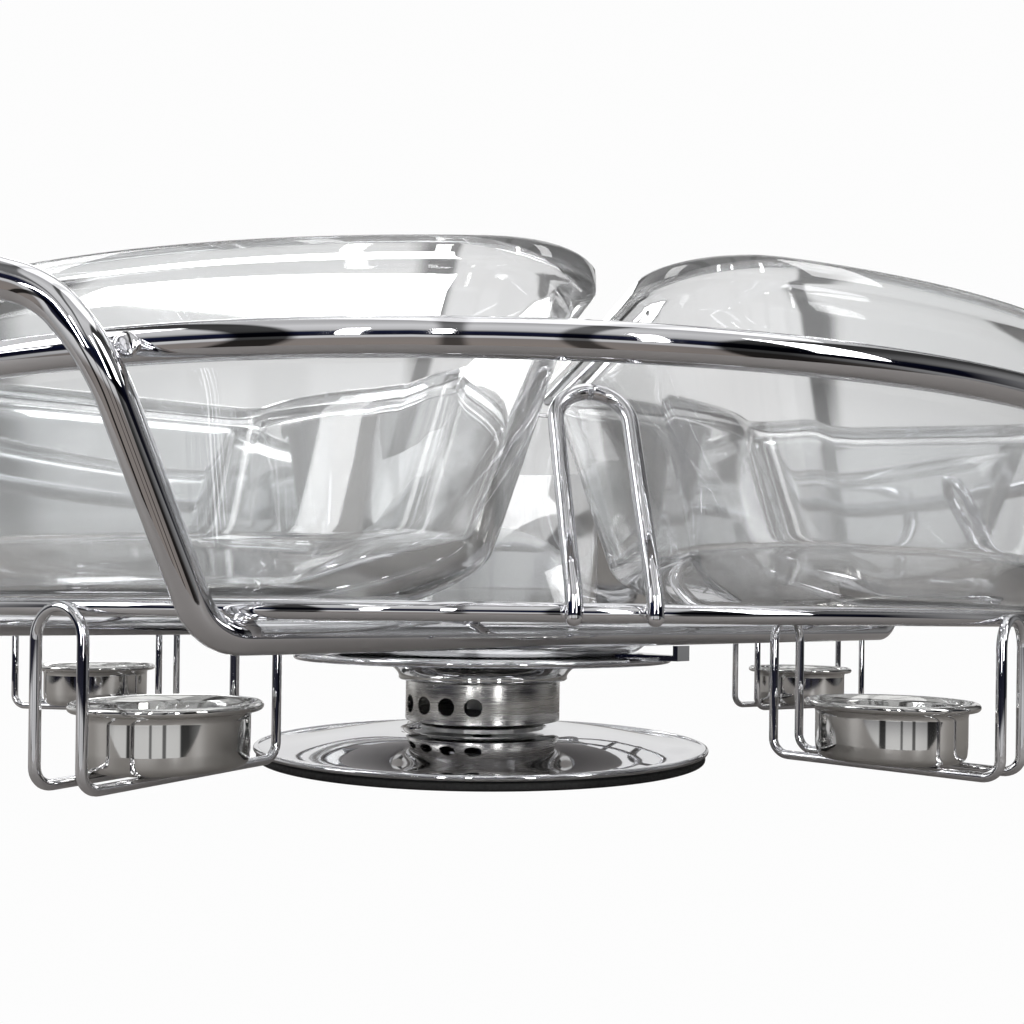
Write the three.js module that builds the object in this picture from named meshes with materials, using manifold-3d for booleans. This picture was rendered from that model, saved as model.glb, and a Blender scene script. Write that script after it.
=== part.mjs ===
// Revolving buffet server: a chrome wire rack on a turntable base. It carries fan-shaped glass dishes round a
// centre dish, and a tea-light cup in a wire cradle under each fan dish.
// Units are millimetres, +Z is up. The origin is on the turning axis, on the face that the base stands on.
// Angles are in degrees, measured from -Y (the front) towards +X.
import * as THREE from 'three';
import { mergeVertices } from 'three/addons/utils/BufferGeometryUtils.js';
import Module from 'manifold-3d';

const wasm = await Module();
wasm.setup();

// ---- driving dimensions ----
const GAP = 0.3; // between two pieces that touch or are welded
const DISH_COUNT = 5; // fan dishes, and with them cups, cradles and dividers
const RACK_TURN = 9.3; // angle of the first divider

const BASE_RADIUS = 94.4;
const BASE_SHEET = 1.5;
const BASE_RISE = 6.2; // from the rim's top to the raised middle
const FOOT_HEIGHT = 3.1;
const FOOT_WIDTH = 14;
const FOOT_INSET = 1.2; // foot ring's edge inside the base's edge
const BASE_EDGE = 0.6; // depth of the rolled edge
const BASE_RIM_RISE = 0.4; // of the rim's top, from the edge to the cone
const BASE_CONE_INSET = 4; // from the foot ring's inner edge to the cone
const BASE_SHOULDER = 3; // flat middle beyond the collar

const COLLAR_RADIUS = 32.6;
const COLLAR_WALL = 1.2;
const COLLAR_HEIGHT = 16.6;
const COLLAR_LIFT = 4; // open bearing line between base and collar
const VENT_DIAMETER = 7.4;
const VENT_ANGLES = [-65, -45, -25, -5, 115, 135, 155, 175];
const VENT_HEIGHT = 7.2; // vent centre above the collar's lower edge
const BOLT_RADIUS = 4;
const BOLT_CLEARANCE = 0.5;
const RACE_SHEET = 1.6;
const RACE_RADIUS = 26;
const BALL_RADIUS = 1.8;
const NUT_RADIUS = 7.5;
const NUT_HEIGHT = 5;
const NUT_SIDES = 6;
const BOLT_HEAD = 3;
const BOLT_TAIL = 2; // bolt beyond its nut
const BALL_INSET = 1; // balls inside the lower race's edge

const CUP_FLARE = 10.4; // how far the flared cup spreads beyond the collar
const CUP_FLARE_HEIGHT = 8;
const CUP_FLARE_FOOT = 2.4; // foot beyond the collar
const CUP_FLARE_FOOT_HEIGHT = 1.4;
const CUP_FLARE_EDGE = 0.6; // the foot's side leans out by this much
const CUP_FLARE_LIP = 3;
const CUP_FLARE_SHEET = 2;
const PLATE_RADIUS = 79;
const PLATE_THICKNESS = 2.6;

const TUBE_DIAMETER = 8; // frame tubes and upper ring
const RING_DIAMETER = 4.5; // lower and inner rings
const DIVIDER_DIAMETER = 4;
const CRADLE_DIAMETER = 2.8;

const INNER_RING_RADIUS = 147;
const RACK_LIFT = 6.15; // from the plate's top to the underside of the cross tubes
const UPPER_RING_RADIUS = 233;
const RING_SPACING = 53; // from the lower rings up to the upper ring

const FRAME_TURN = 48.75; // angle of the line from the axis square to the front cross tube
const CROSS_TUBE_OFFSET = 97.45; // from the axis to the centre line of a cross tube
const STRUT_TOP_ANGLE = 65; // a strut's top, from that line
const STRUT_FOOT_CLEARANCE = 2.25; // beside the lower ring, at the foot's corner
const STRUT_TOP_REACH = 1.2; // beyond the upper ring, in tube diameters and gaps
const FOOT_BEND = 14;
const STRUT_BEND = 30;
const SHOULDER_BEND = 16;
const HANDLE_BEND = 40;
const HANDLE_REACH = 51; // grip outside the upper ring
const HANDLE_RISE = 21; // grip above the upper ring
const HANDLE_HALF_ANGLE = 11;
const SHOULDER_ANGLE = 67.4;
const SHOULDER_REACH = 13.5;
const SHOULDER_RISE = 8;
const BRACKET_WIDTH = 8;
const BRACKET_SHEET = 2;
const BRACKET_OVERLAP = 8; // length that lies on the plate

const DIVIDER_WIDTH = 18.2; // between leg centres
const DIVIDER_RISE = 53.5; // top of the bend's centre line above the lower ring
const DIVIDER_LEAN = 26;
const DIVIDER_FOOT_DROP = 3;
const DIVIDER_KNEE_BEND = 6;
const BEND_JOIN = 0.01; // straight wire left between two bends that meet

const CRADLE_WIDTH = 16.2; // between the two wires
const CRADLE_DROP = 44; // from the lower ring down to the two level runs
const CRADLE_BEND = 5;

const CUP_RIM_RADIUS = 25;
const CUP_RIM_WIDTH = 3.4;
const CUP_CLEARANCE = 11; // between the cup and the two ends of its cradle, both together
const CUP_HEIGHT = 17.6;
const CUP_WALL = 0.8;
const CUP_ROLL = 2.6;
const CUP_EASE = 0.6; // small steps of the draft and of the rolled rim
const CUP_FOOT_ROUND = 3;
const CUP_FOOT_RISE = 2.4;

const DISH_STAND = 21; // from the upper ring's centre up to the dishes' rims
const DISH_WALL = 4;
const FAN_RIM_INSET = 2; // rim inside the upper ring's centre line
const FAN_FOOT_OVERLAP = 0.7; // foot beyond the lower ring's centre line
const FAN_LEAN = 36; // how far a side wall leans in from rim to foot
const DISH_CLEARANCE = 9; // between the rims of the centre dish and the fan dishes
const FAN_SIDE_GAP = 4.5; // from the rim's side to the middle of the gap between dishes
const FAN_OUTER_CORNER = 22;
const FAN_INNER_CORNER = 10;
// [share of the height, share of the lean] up the outside, and from the rim down the inside to the floor
const FAN_OUTSIDE = [[0, 1], [0.055, 0.78], [0.16, 0.625], [0.92, 0.067], [0.93, 0], [1, 0]];
const FAN_INSIDE = [[1, 0.055], [0.153, 0.57], [0.053, 0.74], [0, 0.945]];
const CENTRE_RIM_RADIUS = 85;
const CENTRE_FOOT_RADIUS = 60;
const CENTRE_LIP = 3; // lip beyond the wall
const CENTRE_LIP_HEIGHT = 5;
const CENTRE_LIP_EASE = 1; // height of the step from wall to lip
// [beyond the foot, above the bottom or the floor] round the foot, outside and then inside
const CENTRE_OUTSIDE = [[0, 0], [6, 2], [10, 8]];
const CENTRE_INSIDE = [[6, 6], [3, 2], [-3, 0]];

// ---- facets ----
const SAME_POINT = 0.001; // points closer than this are one
const HOOP_SEGMENTS = 60;
const HOOP_SIDES = 8;
const ROUND_SEGMENTS = 48;
const SMALL_SEGMENTS = 24;
const HOLE_SEGMENTS = 12;
const TUBE_SIDES = 10;
const DIVIDER_SIDES = 8;
const CRADLE_SIDES = 6;
const TUBE_BEND_STEPS = 5;
const DIVIDER_BEND_STEPS = 6;
const CRADLE_BEND_STEPS = 3;
const FAN_STEPS = { outer: 3, outerCorner: 4, innerCorner: 3, inner: 2 };

// ---- derived heights ----
const baseRimTop = FOOT_HEIGHT + GAP + BASE_SHEET;
const baseTop = baseRimTop + BASE_RISE;
const collarBottom = baseTop + COLLAR_LIFT;
const collarTop = collarBottom + COLLAR_HEIGHT;
const plateBottom = collarTop + GAP + CUP_FLARE_HEIGHT + GAP;
const plateTop = plateBottom + PLATE_THICKNESS;
const crossTubeHeight = plateTop + RACK_LIFT + TUBE_DIAMETER / 2;
const lowerRingHeight = crossTubeHeight + (RING_DIAMETER + TUBE_DIAMETER) / 2 + GAP;
const upperRingHeight = lowerRingHeight + RING_SPACING;
const cradleHeight = lowerRingHeight - CRADLE_DROP;
const lowerRingRadius = INNER_RING_RADIUS + 2 * CUP_RIM_RADIUS + CUP_CLEARANCE;
const dishBottom = lowerRingHeight + RING_DIAMETER / 2 + GAP;
const dishRimHeight = upperRingHeight + DISH_STAND;
const pitch = 360 / DISH_COUNT;

// ---- helpers ----
const radians = THREE.MathUtils.degToRad;

function polar(angle, radius, height) {
  return new THREE.Vector3(radius * Math.sin(radians(angle)), -radius * Math.cos(radians(angle)), height);
}

// Turns a closed geometry's faces outward where its signed volume is negative.
function outward(geometry) {
  geometry.deleteAttribute('normal');
  geometry.deleteAttribute('uv');
  const merged = mergeVertices(geometry, SAME_POINT);
  const p = merged.getAttribute('position');
  const index = merged.getIndex().array;
  const [a, b, c] = [new THREE.Vector3(), new THREE.Vector3(), new THREE.Vector3()];
  let volume = 0;
  for (let i = 0; i < index.length; i += 3) {
    a.fromBufferAttribute(p, index[i]);
    b.fromBufferAttribute(p, index[i + 1]);
    c.fromBufferAttribute(p, index[i + 2]);
    volume += a.dot(b.cross(c));
  }
  if (volume < 0) index.reverse();
  return merged;
}

// A turned piece: [radius, height] pairs that start and end on the axis or close on themselves.
function turned(profile, segments) {
  const points = profile.map(([radius, height]) => new THREE.Vector2(radius, height));
  return outward(new THREE.LatheGeometry(points, segments).rotateX(Math.PI / 2));
}

function closed(profile) {
  return [...profile, profile[0]];
}

// A straight-sided path whose corners are rounded, sampled only where it bends.
class WirePath extends THREE.Curve {
  constructor(corners, bends, bendSteps) {
    super();
    this.stations = [corners[0]];
    for (let i = 1; i < corners.length - 1; i += 1) {
      const before = corners[i - 1].clone().sub(corners[i]).normalize();
      const after = corners[i + 1].clone().sub(corners[i]).normalize();
      const reach = bends[i - 1] / Math.tan(before.angleTo(after) / 2);
      const start = corners[i].clone().addScaledVector(before, reach);
      const end = corners[i].clone().addScaledVector(after, reach);
      this.stations.push(...new THREE.QuadraticBezierCurve3(start, corners[i], end).getPoints(bendSteps));
    }
    this.stations.push(corners[corners.length - 1]);
  }

  getPoint(t) {
    const place = t * (this.stations.length - 1);
    const i = Math.min(Math.floor(place), this.stations.length - 2);
    return this.stations[i].clone().lerp(this.stations[i + 1], place - i);
  }

  getTangent(t) {
    const i = Math.round(t * (this.stations.length - 1));
    const before = this.stations[Math.max(i - 1, 0)];
    const after = this.stations[Math.min(i + 1, this.stations.length - 1)];
    return after.clone().sub(before).normalize();
  }

  getPointAt(u) { return this.getPoint(u); }

  getTangentAt(u) { return this.getTangent(u); }
}

// A round bar or tube's outside along a path.
function bar(path, diameter, sides) {
  const ring = [];
  for (let i = 0; i < sides; i += 1) {
    const turn = (2 * Math.PI * i) / sides;
    ring.push(new THREE.Vector2(Math.cos(turn), Math.sin(turn)).multiplyScalar(diameter / 2));
  }
  const options = { steps: path.stations.length - 1, extrudePath: path, bevelEnabled: false };
  return outward(new THREE.ExtrudeGeometry(new THREE.Shape(ring), options));
}

function hoop(radius, height, diameter) {
  const ring = new THREE.TorusGeometry(radius, diameter / 2, HOOP_SIDES, HOOP_SEGMENTS);
  return outward(ring.translate(0, 0, height));
}

function solid(geometry) {
  const mesh = { numProp: 3, vertProperties: geometry.getAttribute('position').array };
  mesh.triVerts = new Uint32Array(geometry.getIndex().array);
  return new wasm.Manifold(new wasm.Mesh(mesh));
}

function fromSolid(manifold) {
  const mesh = manifold.getMesh();
  const geometry = new THREE.BufferGeometry();
  geometry.setAttribute('position', new THREE.BufferAttribute(new Float32Array(mesh.vertProperties), 3));
  geometry.setIndex(new THREE.BufferAttribute(new Uint32Array(mesh.triVerts), 1));
  return geometry;
}

// Joins outlines of equal length into a skin, and closes its first and last outline with a fan of faces.
function loft(outlines) {
  const size = outlines[0].length;
  const positions = outlines.flat().flatMap((point) => point.toArray());
  const index = [];
  for (let level = 0; level < outlines.length - 1; level += 1) {
    for (let i = 0; i < size; i += 1) {
      const [a, b] = [level * size + i, level * size + ((i + 1) % size)];
      index.push(a, b, b + size, a, b + size, a + size);
    }
  }
  const last = (outlines.length - 1) * size;
  for (const [start, flip] of [[0, true], [last, false]]) {
    const centre = new THREE.Vector3();
    outlines[start / size].forEach((point) => centre.addScaledVector(point, 1 / size));
    positions.push(...centre.toArray());
    const hub = positions.length / 3 - 1;
    for (let i = 0; i < size; i += 1) {
      const [a, b] = [start + i, start + ((i + 1) % size)];
      index.push(hub, ...(flip ? [b, a] : [a, b]));
    }
  }
  const geometry = new THREE.BufferGeometry();
  geometry.setAttribute('position', new THREE.Float32BufferAttribute(positions, 3));
  geometry.setIndex(index);
  return outward(geometry);
}

// ---- materials ----
const FINISHES = {
  chrome: { color: 0xd9dade, roughness: 0.06, metalness: 1 },
  brushed: { color: 0xc4c2be, roughness: 0.3, metalness: 1 },
  stainless: { color: 0xc8c3bb, roughness: 0.16, metalness: 1 },
  zinc: { color: 0xa8abad, roughness: 0.4, metalness: 1 },
  rubber: { color: 0x141414, roughness: 0.8, metalness: 0 },
  glass: { color: 0xe4ecee, roughness: 0.03, metalness: 0, transparent: true, opacity: 0.35 },
};

const server = new THREE.Group();

function add(name, geometry, finish) {
  const mesh = new THREE.Mesh(geometry, new THREE.MeshStandardMaterial(FINISHES[finish]));
  mesh.name = name;
  server.add(mesh);
}

// ---- turntable base ----
function footRing() {
  const outer = BASE_RADIUS - FOOT_INSET;
  const inner = outer - FOOT_WIDTH;
  return turned(closed([[inner, 0], [outer, 0], [outer, FOOT_HEIGHT], [inner, FOOT_HEIGHT]]), ROUND_SEGMENTS);
}

// A spun disc: flat rim over the foot ring, rolled edge, then a cone up to the flat middle.
function baseDisc() {
  const hole = BOLT_RADIUS + GAP;
  const rimInner = BASE_RADIUS - FOOT_WIDTH - BASE_CONE_INSET;
  const under = (height) => height - BASE_SHEET;
  const shoulder = COLLAR_RADIUS + BASE_SHOULDER;
  return turned(closed([
    [hole, under(baseTop)], [shoulder, under(baseTop)], [rimInner, under(baseRimTop)],
    [BASE_RADIUS - BASE_EDGE, under(baseRimTop)], [BASE_RADIUS, baseRimTop - BASE_SHEET / 2],
    [BASE_RADIUS - BASE_EDGE, baseRimTop], [rimInner, baseRimTop + BASE_RIM_RISE],
    [shoulder, baseTop], [hole, baseTop],
  ]), ROUND_SEGMENTS);
}

function washer(inner, outer, bottom, top, segments) {
  return turned(closed([[inner, bottom], [outer, bottom], [outer, top], [inner, top]]), segments);
}

const lowerRaceTop = baseTop + GAP + RACE_SHEET;
const ballHeight = lowerRaceTop + GAP + BALL_RADIUS;
const upperRaceBottom = ballHeight + BALL_RADIUS + GAP;
const upperRaceTop = upperRaceBottom + RACE_SHEET;
const nutBottom = upperRaceTop + BOLT_CLEARANCE;
const boltHole = BOLT_RADIUS + BOLT_CLEARANCE;

// A bolt with its head under the base disc and its shank standing up through the races.
function pivotBolt() {
  const headTop = baseTop - BASE_SHEET - GAP;
  const headBottom = headTop - BOLT_HEAD;
  const tail = nutBottom + NUT_HEIGHT + BOLT_TAIL;
  return turned([[0, headBottom], [NUT_RADIUS, headBottom], [NUT_RADIUS, headTop], [BOLT_RADIUS, headTop],
    [BOLT_RADIUS, tail], [0, tail]], SMALL_SEGMENTS);
}

// A hexagonal nut on the bolt's end.
function lockNut() {
  const corners = Array.from({ length: NUT_SIDES }, (_, i) => polar((360 * i) / NUT_SIDES, NUT_RADIUS, 0));
  const outline = new THREE.Shape(corners.map((corner) => new THREE.Vector2(corner.x, corner.y)));
  outline.holes.push(new THREE.Path().absarc(0, 0, BOLT_RADIUS + GAP, 0, 2 * Math.PI, true));
  const options = { depth: NUT_HEIGHT, bevelEnabled: false, curveSegments: HOLE_SEGMENTS };
  return outward(new THREE.ExtrudeGeometry(outline, options).translate(0, 0, nutBottom));
}

add('foot_ring', footRing(), 'rubber');
add('base_disc', baseDisc(), 'chrome');
add('lower_race', washer(boltHole, RACE_RADIUS, baseTop + GAP, lowerRaceTop, SMALL_SEGMENTS), 'zinc');
add('ball_ring', hoop(RACE_RADIUS - 2 * BALL_RADIUS - BALL_INSET, ballHeight, 2 * BALL_RADIUS), 'zinc');
add('pivot_bolt', pivotBolt(), 'zinc');
add('lock_nut', lockNut(), 'zinc');

// ---- hub that turns ----
// A short tube with round vents through its wall.
function collar() {
  const inside = COLLAR_RADIUS - COLLAR_WALL;
  const wall = solid(washer(inside, COLLAR_RADIUS, collarBottom, collarTop, ROUND_SEGMENTS));
  return fromSolid(VENT_ANGLES.reduce((rest, angle) => {
    const radius = VENT_DIAMETER / 2;
    const drill = new THREE.CylinderGeometry(radius, radius, 4 * COLLAR_WALL, HOLE_SEGMENTS);
    const place = polar(angle, COLLAR_RADIUS - COLLAR_WALL / 2, collarBottom + VENT_HEIGHT);
    drill.rotateZ(radians(angle)).translate(...place.toArray());
    return rest.subtract(solid(outward(drill)));
  }, wall));
}

// A spun cup that widens from the collar up to the plate.
function flaredCup() {
  const bottom = collarTop + GAP;
  const top = bottom + CUP_FLARE_HEIGHT;
  const foot = COLLAR_RADIUS + CUP_FLARE_FOOT;
  const inside = COLLAR_RADIUS - COLLAR_WALL;
  const lip = COLLAR_RADIUS + CUP_FLARE;
  return turned(closed([
    [inside, bottom], [foot, bottom], [foot + CUP_FLARE_EDGE, bottom + CUP_FLARE_FOOT_HEIGHT],
    [lip, top], [lip - CUP_FLARE_LIP, top], [foot - CUP_FLARE_SHEET, bottom + CUP_FLARE_SHEET],
    [inside, bottom + CUP_FLARE_SHEET],
  ]), ROUND_SEGMENTS);
}

function topPlate() {
  const edge = PLATE_RADIUS - PLATE_THICKNESS / 3;
  return turned([[0, plateBottom], [edge, plateBottom], [PLATE_RADIUS, plateBottom + PLATE_THICKNESS / 2],
    [edge, plateTop], [0, plateTop]], ROUND_SEGMENTS);
}

const upperRaceRadius = COLLAR_RADIUS - COLLAR_WALL - GAP;
add('upper_race', washer(boltHole, upperRaceRadius, upperRaceBottom, upperRaceTop, SMALL_SEGMENTS), 'zinc');
add('collar', collar(), 'brushed');
add('flared_cup', flaredCup(), 'stainless');
add('top_plate', topPlate(), 'chrome');

// ---- rack frame ----
add('upper_ring', hoop(UPPER_RING_RADIUS, upperRingHeight, TUBE_DIAMETER), 'chrome');
add('lower_ring', hoop(lowerRingRadius, lowerRingHeight, RING_DIAMETER), 'chrome');
add('inner_ring', hoop(INNER_RING_RADIUS, lowerRingHeight, RING_DIAMETER), 'chrome');

const footRadius = lowerRingRadius + (TUBE_DIAMETER + RING_DIAMETER) / 2 + STRUT_FOOT_CLEARANCE;
const strutFootAngle = THREE.MathUtils.radToDeg(Math.acos(CROSS_TUBE_OFFSET / footRadius));

// Half a handle, a strut, the cross tube, the other strut and half of the other handle, in one bent tube.
function frameTube(turn) {
  const grip = [UPPER_RING_RADIUS + HANDLE_REACH, upperRingHeight + HANDLE_RISE];
  const shoulder = [UPPER_RING_RADIUS + SHOULDER_REACH, upperRingHeight + SHOULDER_RISE];
  const half = (side) => {
    const corner = polar(turn + side * (90 - HANDLE_HALF_ANGLE), ...grip);
    const mirrored = polar(turn + side * (90 + HANDLE_HALF_ANGLE), ...grip);
    const middle = corner.clone().lerp(mirrored, 0.5);
    middle.lerp(corner, GAP / 2 / corner.distanceTo(middle));
    const reach = (TUBE_DIAMETER + GAP) * STRUT_TOP_REACH;
    return [
      middle, corner,
      polar(turn + side * SHOULDER_ANGLE, ...shoulder),
      polar(turn + side * STRUT_TOP_ANGLE, UPPER_RING_RADIUS + reach, upperRingHeight - reach / 2),
      polar(turn + side * strutFootAngle, footRadius, crossTubeHeight),
    ];
  };
  const bends = [HANDLE_BEND, SHOULDER_BEND, STRUT_BEND, FOOT_BEND];
  const corners = [...half(-1), ...half(1).reverse()];
  const path = new WirePath(corners, [...bends, ...bends.toReversed()], TUBE_BEND_STEPS);
  return bar(path, TUBE_DIAMETER, TUBE_SIDES);
}

// A strap that lies on the plate, passes its rim and turns up to the cross tube.
function plateBracket(turn) {
  const under = plateTop + GAP;
  const tubeBottom = crossTubeHeight - TUBE_DIAMETER / 2 - GAP;
  const outline = new THREE.Shape();
  const inner = PLATE_RADIUS - BRACKET_OVERLAP;
  outline.moveTo(inner, under);
  outline.lineTo(CROSS_TUBE_OFFSET + BRACKET_SHEET / 2, under);
  outline.lineTo(CROSS_TUBE_OFFSET + BRACKET_SHEET / 2, tubeBottom);
  outline.lineTo(CROSS_TUBE_OFFSET - BRACKET_SHEET / 2, tubeBottom);
  outline.lineTo(CROSS_TUBE_OFFSET - BRACKET_SHEET / 2, under + BRACKET_SHEET);
  outline.lineTo(inner, under + BRACKET_SHEET);
  const strap = new THREE.ExtrudeGeometry(outline, { depth: BRACKET_WIDTH, bevelEnabled: false });
  strap.translate(0, 0, -BRACKET_WIDTH / 2).rotateX(Math.PI / 2).rotateZ(radians(turn - 90));
  return outward(strap);
}

for (const [side, turn] of [['front', FRAME_TURN], ['rear', FRAME_TURN + 180]]) {
  add(`frame_tube_${side}`, frameTube(turn), 'chrome');
  add(`plate_bracket_${side}`, plateBracket(turn), 'chrome');
}

// An inverted U that stands outside the lower ring and leans in between two dishes.
function divider(turn) {
  const foot = lowerRingRadius + (RING_DIAMETER + DIVIDER_DIAMETER) / 2 + GAP;
  const along = polar(turn + 90, DIVIDER_WIDTH / 2, 0);
  const low = polar(turn, foot, lowerRingHeight - DIVIDER_FOOT_DROP);
  const knee = polar(turn, foot, lowerRingHeight + DIVIDER_FOOT_DROP);
  const high = polar(turn, foot - DIVIDER_LEAN, lowerRingHeight + DIVIDER_RISE);
  const leg = (side) => [low, knee, high].map((point) => point.clone().addScaledVector(along, side));
  const top = DIVIDER_WIDTH / 2 - BEND_JOIN;
  const bends = [DIVIDER_KNEE_BEND, top, top, DIVIDER_KNEE_BEND];
  const path = new WirePath([...leg(-1), ...leg(1).reverse()], bends, DIVIDER_BEND_STEPS);
  return bar(path, DIVIDER_DIAMETER, DIVIDER_SIDES);
}

// One wire bent into two runs under the cup, with an inverted U outside the lower ring and one inside
// the inner ring. Its two ends meet in the middle of an outer leg.
function cradle(turn) {
  const reach = (RING_DIAMETER + CRADLE_DIAMETER) / 2 + GAP;
  const [inner, outer] = [INNER_RING_RADIUS - reach, lowerRingRadius + reach];
  const along = polar(turn + 90, CRADLE_WIDTH / 2, 0);
  const at = (radius, height, side) => polar(turn, radius, height).addScaledVector(along, side);
  const seam = (lowerRingHeight + cradleHeight) / 2;
  const corners = [
    at(outer, seam - GAP / 2, 1), at(outer, cradleHeight, 1), at(inner, cradleHeight, 1),
    at(inner, lowerRingHeight, 1), at(inner, lowerRingHeight, -1), at(inner, cradleHeight, -1),
    at(outer, cradleHeight, -1), at(outer, lowerRingHeight, -1), at(outer, lowerRingHeight, 1),
    at(outer, seam + GAP / 2, 1),
  ];
  const path = new WirePath(corners, corners.slice(2).map(() => CRADLE_BEND), CRADLE_BEND_STEPS);
  return bar(path, CRADLE_DIAMETER, CRADLE_SIDES);
}

// ---- loose pieces ----
// A pressed cup with a rolled rim.
function teaLightCup(turn) {
  const bottom = cradleHeight + CRADLE_DIAMETER / 2 + GAP;
  const top = bottom + CUP_HEIGHT;
  const body = CUP_RIM_RADIUS - CUP_RIM_WIDTH;
  const inside = body - CUP_WALL;
  const cup = turned([
    [0, bottom], [body - CUP_FOOT_ROUND, bottom], [body - CUP_EASE, bottom + CUP_FOOT_RISE],
    [body, top - CUP_ROLL], [CUP_RIM_RADIUS - CUP_EASE, top - CUP_ROLL],
    [CUP_RIM_RADIUS, top - CUP_ROLL / 2], [CUP_RIM_RADIUS - CUP_EASE, top],
    [inside, top - CUP_EASE], [inside - CUP_EASE, bottom + CUP_FOOT_ROUND],
    [inside - CUP_FOOT_ROUND, bottom + CUP_WALL], [0, bottom + CUP_WALL],
  ], SMALL_SEGMENTS);
  return cup.translate(...polar(turn, (INNER_RING_RADIUS + lowerRingRadius) / 2, 0).toArray());
}

// The outline of a fan at one height: outer arc, two sides set back from the middle of the gaps, inner arc,
// and a round corner where each side meets an arc.
function fanOutline(turn, outer, inner, setback, height) {
  const arc = (centre, radius, from, to, steps) => Array.from({ length: steps + 1 }, (_, i) => {
    const angle = from + ((to - from) * i) / steps;
    return new THREE.Vector2(centre.x + radius * Math.cos(angle), centre.y + radius * Math.sin(angle));
  });
  const bisector = radians(pitch / 2);
  const lift = (corner, reach) => bisector - Math.asin((setback + corner) / reach);
  const outerTurn = lift(FAN_OUTER_CORNER, outer - FAN_OUTER_CORNER);
  const innerTurn = lift(FAN_INNER_CORNER, inner + FAN_INNER_CORNER);
  const at = (radius, angle) => new THREE.Vector2(radius * Math.cos(angle), radius * Math.sin(angle));
  const side = bisector + Math.PI / 2;
  const outerCentre = at(outer - FAN_OUTER_CORNER, outerTurn);
  const innerCentre = at(inner + FAN_INNER_CORNER, innerTurn);
  const half = [
    ...arc(new THREE.Vector2(), outer, 0, outerTurn, FAN_STEPS.outer),
    ...arc(outerCentre, FAN_OUTER_CORNER, outerTurn, side, FAN_STEPS.outerCorner).slice(1),
    ...arc(innerCentre, FAN_INNER_CORNER, side, innerTurn + Math.PI, FAN_STEPS.innerCorner),
    ...arc(new THREE.Vector2(), inner, innerTurn, 0, FAN_STEPS.inner).slice(1),
  ];
  const mirrored = half.slice(1, -1).reverse().map((point) => new THREE.Vector2(point.x, -point.y));
  return [...half, ...mirrored].map((point) => new THREE.Vector3(point.x, point.y, height)
    .applyAxisAngle(new THREE.Vector3(0, 0, 1), radians(turn - 90)));
}

// A fan-shaped glass dish: the wall leans out from a rounded foot to a lipped rim.
function fanDish(turn) {
  const height = dishRimHeight - dishBottom;
  const outerRim = UPPER_RING_RADIUS - FAN_RIM_INSET;
  const outerLean = (outerRim - lowerRingRadius - FAN_FOOT_OVERLAP) / FAN_LEAN;
  const level = (share, lean, wall) => fanOutline(
    turn,
    outerRim - lean * outerLean - wall,
    CENTRE_RIM_RADIUS + DISH_CLEARANCE + lean + wall,
    FAN_SIDE_GAP + lean + wall,
    dishBottom + height * share,
  );
  const floor = DISH_WALL / height;
  return loft([
    ...FAN_OUTSIDE.map(([share, lean]) => level(share, lean * FAN_LEAN, 0)),
    ...FAN_INSIDE.map(([share, lean]) => level(floor + (1 - floor) * share, lean * FAN_LEAN, DISH_WALL)),
  ]);
}

// The round dish in the middle stands on the plate.
function centreDish() {
  const bottom = plateTop + GAP;
  const rim = CENTRE_RIM_RADIUS;
  const wallTop = dishRimHeight - CENTRE_LIP_HEIGHT;
  const round = (points, level) => points.map(([out, up]) => [CENTRE_FOOT_RADIUS + out, level + up]);
  return turned([
    [0, bottom], ...round(CENTRE_OUTSIDE, bottom),
    [rim - CENTRE_LIP, wallTop - CENTRE_LIP_EASE], [rim, wallTop], [rim, dishRimHeight],
    [rim - CENTRE_LIP - DISH_WALL / 2, dishRimHeight],
    ...round(CENTRE_INSIDE, bottom + DISH_WALL), [0, bottom + DISH_WALL],
  ], ROUND_SEGMENTS);
}

for (let i = 0; i < DISH_COUNT; i += 1) {
  const gapTurn = RACK_TURN + i * pitch;
  const dishTurn = gapTurn - pitch / 2;
  add(`divider_${i + 1}`, divider(gapTurn), 'chrome');
  add(`cradle_${i + 1}`, cradle(dishTurn), 'chrome');
  add(`cup_${i + 1}`, teaLightCup(dishTurn), 'stainless');
  add(`fan_dish_${i + 1}`, fanDish(dishTurn), 'glass');
}
add('centre_dish', centreDish(), 'glass');

export default server;
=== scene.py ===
import bpy
import numpy as np
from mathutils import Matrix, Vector


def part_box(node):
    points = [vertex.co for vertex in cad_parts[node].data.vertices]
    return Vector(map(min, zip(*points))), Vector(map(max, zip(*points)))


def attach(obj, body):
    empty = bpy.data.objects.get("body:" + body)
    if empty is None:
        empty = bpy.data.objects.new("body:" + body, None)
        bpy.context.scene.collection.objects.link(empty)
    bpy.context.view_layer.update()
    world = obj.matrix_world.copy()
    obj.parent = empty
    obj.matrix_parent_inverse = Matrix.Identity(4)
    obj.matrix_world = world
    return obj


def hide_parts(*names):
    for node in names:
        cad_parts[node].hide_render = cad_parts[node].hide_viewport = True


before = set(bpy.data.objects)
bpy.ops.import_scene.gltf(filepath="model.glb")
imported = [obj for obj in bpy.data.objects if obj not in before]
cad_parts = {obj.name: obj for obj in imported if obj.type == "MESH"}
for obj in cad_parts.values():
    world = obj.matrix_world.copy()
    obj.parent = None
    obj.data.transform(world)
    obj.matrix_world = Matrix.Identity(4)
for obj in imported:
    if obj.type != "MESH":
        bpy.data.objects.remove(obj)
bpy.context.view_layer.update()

# ---- Studio ----
# An evenly lit white room. The camera's side has a dark strip from eye height up, and dark upright frames
# stand all round, which give polished chrome its dark lines. A small grey table top is seen only in
# reflections and through glass. The camera stands level, just below the lower hoop.
scene = bpy.context.scene
scene.view_settings.view_transform = "Standard"
hoop_low, hoop_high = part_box("lower_ring")
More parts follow.
